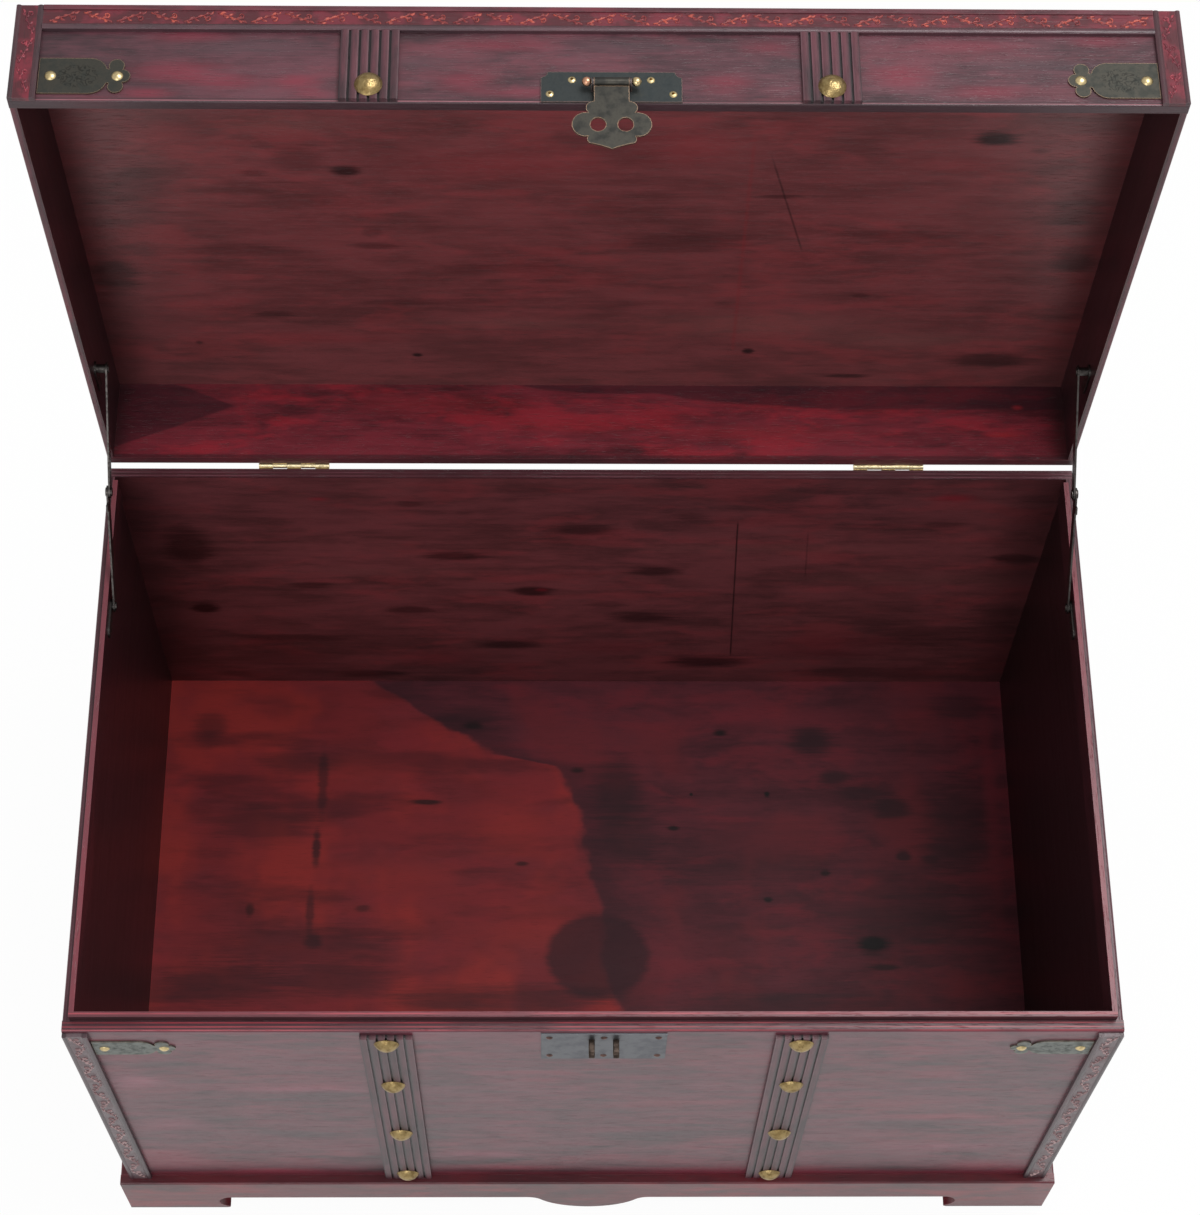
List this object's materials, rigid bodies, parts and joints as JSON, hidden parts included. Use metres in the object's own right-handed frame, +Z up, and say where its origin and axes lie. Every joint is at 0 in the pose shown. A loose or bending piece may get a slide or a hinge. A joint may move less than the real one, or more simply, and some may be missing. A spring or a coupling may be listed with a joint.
{
  "type": "hinged storage trunk",
  "caption": "Rectangular wooden storage trunk with a flat hinged lid on folding stays, a hasp and catch for a padlock, dome studs, reeded strips and a plinth with bracket feet.",
  "frame": {"origin": "on the floor, under the centre of the bounding box of the trunk with its lid open", "axes": "+X along the front to the viewer's right, +Y from the front to the hinged back, +Z up"},
  "size_m": [0.715, 0.5156, 0.8458],
  "materials": {
    "body_wood": "worn cherry-red stain under a greyish bloom, satin",
    "plinth_wood": "worn cherry-red stain, satin",
    "floor_wood": "patchy crimson stain, satin",
    "hidden_wood": "raw, unfinished",
    "lip_wood": "crimson stain, worn",
    "carved_wood": "dark maroon with worn red highlights",
    "strap_wood": "greyish mauve, dark grooves",
    "lid_wood": "dark purple-red stain, satin",
    "stud_brass": "hammered, satin",
    "nail_brass": "satin",
    "antique_bronze": "antique, engraved, worn edges",
    "catch_metal": "light blue-grey, worn",
    "staple_steel": "darkened",
    "hinge_brass": "satin",
    "stay_steel": "dark, satin"
  },
  "bodies": {
    "trunk": {"floor_panel": "floor_wood", "front_panel": "body_wood", "back_panel": "body_wood", "left_panel": "body_wood", "right_panel": "body_wood", "plinth_front": "plinth_wood", "plinth_back": "plinth_wood", "plinth_left": "plinth_wood", "plinth_right": "plinth_wood", "foot_blocks": "hidden_wood", "floor_cleats": "hidden_wood", "dust_lip_front": "lip_wood", "dust_lip_left": "lip_wood", "dust_lip_right": "lip_wood", "front_post_left": "carved_wood", "front_post_right": "carved_wood", "front_strap_left": "strap_wood", "front_strap_right": "strap_wood", "body_studs": "stud_brass", "body_corner_plates": "antique_bronze", "body_plate_nails": "nail_brass", "catch_plate": "catch_metal", "catch_staples": "staple_steel", "catch_nails": "nail_brass", "hinge_lower_leaves": "hinge_brass", "hinge_pins": "hinge_brass", "hinge_lower_screws": "hinge_brass", "stay_trunk_bracket_left": "stay_steel", "stay_trunk_bracket_right": "stay_steel", "stay_trunk_fasteners": "stay_steel"},
    "lid": {"lid_top_panel": "lid_wood", "lid_front_board": "lid_wood", "lid_back_board": "lid_wood", "lid_left_board": "lid_wood", "lid_right_board": "lid_wood", "lid_vine_moulding": "carved_wood", "lid_post_left": "carved_wood", "lid_post_right": "carved_wood", "lid_strap_left": "strap_wood", "lid_strap_right": "strap_wood", "lid_top_border_front": "strap_wood", "lid_top_border_back": "strap_wood", "lid_top_border_sides": "strap_wood", "lid_top_straps": "strap_wood", "lid_studs": "stud_brass", "lid_corner_plates": "antique_bronze", "lid_plate_nails": "nail_brass", "hasp_plate": "antique_bronze", "hasp_pin": "nail_brass", "hasp_eyelets": "nail_brass", "hinge_upper_leaves": "hinge_brass", "hinge_upper_screws": "hinge_brass", "stay_lid_bracket_left": "stay_steel", "stay_lid_bracket_right": "stay_steel", "stay_lid_fasteners": "stay_steel"},
    "hasp": {"hasp_flap": "antique_bronze"},
    "stay_lower_left": {"stay_lower_arm_left": "stay_steel"},
    "stay_lower_right": {"stay_lower_arm_right": "stay_steel"},
    "stay_upper_left": {"stay_upper_arm_left": "stay_steel"},
    "stay_upper_right": {"stay_upper_arm_right": "stay_steel"}
  },
  "joints": [
    {"name": "lid_hinge", "type": "hinge", "parent": "trunk", "child": "lid", "pos_m": [0, 0.1835, 0.4073], "axis": [1, 0, 0], "range_deg": [0, 90]},
    {"name": "hasp_hinge", "type": "hinge", "parent": "lid", "child": "hasp", "pos_m": [0.0065, 0.1945, 0.8429], "axis": [-1, 0, 0], "range_deg": [0, 165]},
    {"name": "stay_left_lower", "type": "hinge", "parent": "trunk", "child": "stay_lower_left", "pos_m": [-0.3387, 0.072, 0.4005], "axis": [1, 0, 0], "range_deg": [0, 118.35]},
    {"name": "stay_right_lower", "type": "hinge", "parent": "trunk", "child": "stay_lower_right", "pos_m": [0.3387, 0.072, 0.4005], "axis": [1, 0, 0], "range_deg": [0, 118.35]},
    {"name": "stay_left_knee", "type": "hinge", "parent": "stay_lower_left", "child": "stay_upper_left", "pos_m": [-0.3372, 0.12819, 0.46561], "axis": [1, 0, 0], "range_deg": [-153.5, 0]},
    {"name": "stay_right_knee", "type": "hinge", "parent": "stay_lower_right", "child": "stay_upper_right", "pos_m": [0.3372, 0.12819, 0.46561], "axis": [1, 0, 0], "range_deg": [-153.5, 0]}
  ],
  "couplings": [
    {"joint": "stay_left_lower", "follows": "lid_hinge", "ratio": 1.3148},
    {"joint": "stay_right_lower", "follows": "lid_hinge", "ratio": 1.3148},
    {"joint": "stay_left_knee", "follows": "lid_hinge", "ratio": -1.7055},
    {"joint": "stay_right_knee", "follows": "lid_hinge", "ratio": -1.7055}
  ]
}
